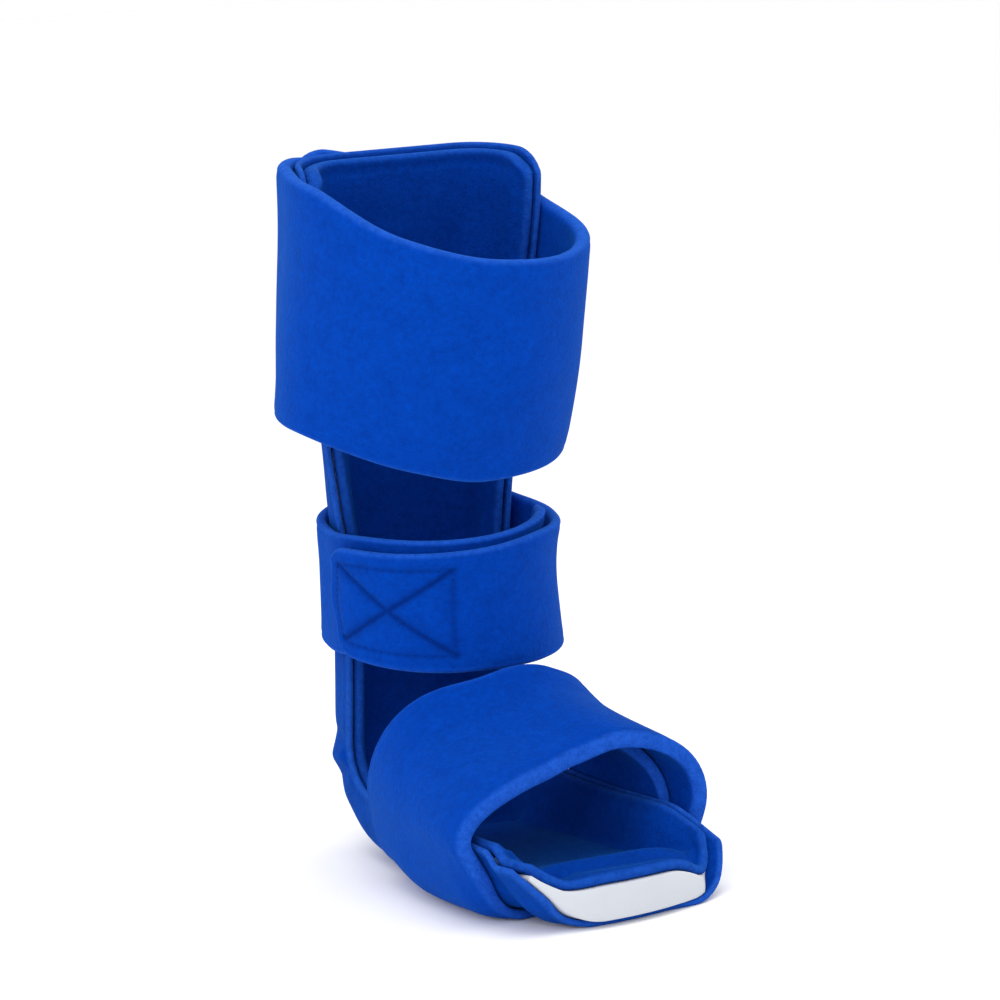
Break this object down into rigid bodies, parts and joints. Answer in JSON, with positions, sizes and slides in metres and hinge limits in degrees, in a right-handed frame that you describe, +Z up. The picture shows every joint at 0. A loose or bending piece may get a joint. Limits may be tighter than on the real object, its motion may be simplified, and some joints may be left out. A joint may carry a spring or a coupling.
{
  "type": "plantar fasciitis night splint",
  "caption": "L-shaped padded night splint for the right foot, with a stiff shell and padded straps round the calf, ankle and instep.",
  "frame": {"origin": "on the floor, on the flat underside of the heel end, under the ankle", "axes": "+Z up along the shin, -Y to the toes, +X to the inner (big toe) side"},
  "size_m": [0.1638, 0.2549, 0.3711],
  "materials": {
    "cover_cloth": "brushed loop cloth over thin foam, royal blue",
    "liner_cloth": "brushed loop cloth over soft foam, royal blue",
    "strap_cloth": "brushed loop cloth over foam, royal blue",
    "shell_plastic": "smooth white moulded plastic",
    "hook_tape": "woven hook tape, blue"
  },
  "bodies": {
    "root": {"outer_cover": "cover_cloth", "shell": "shell_plastic", "inner_liner": "liner_cloth", "calf_strap": "strap_cloth", "ankle_strap": "strap_cloth", "ankle_hook_patch": "hook_tape", "foot_strap": "strap_cloth"}
  },
  "joints": []
}
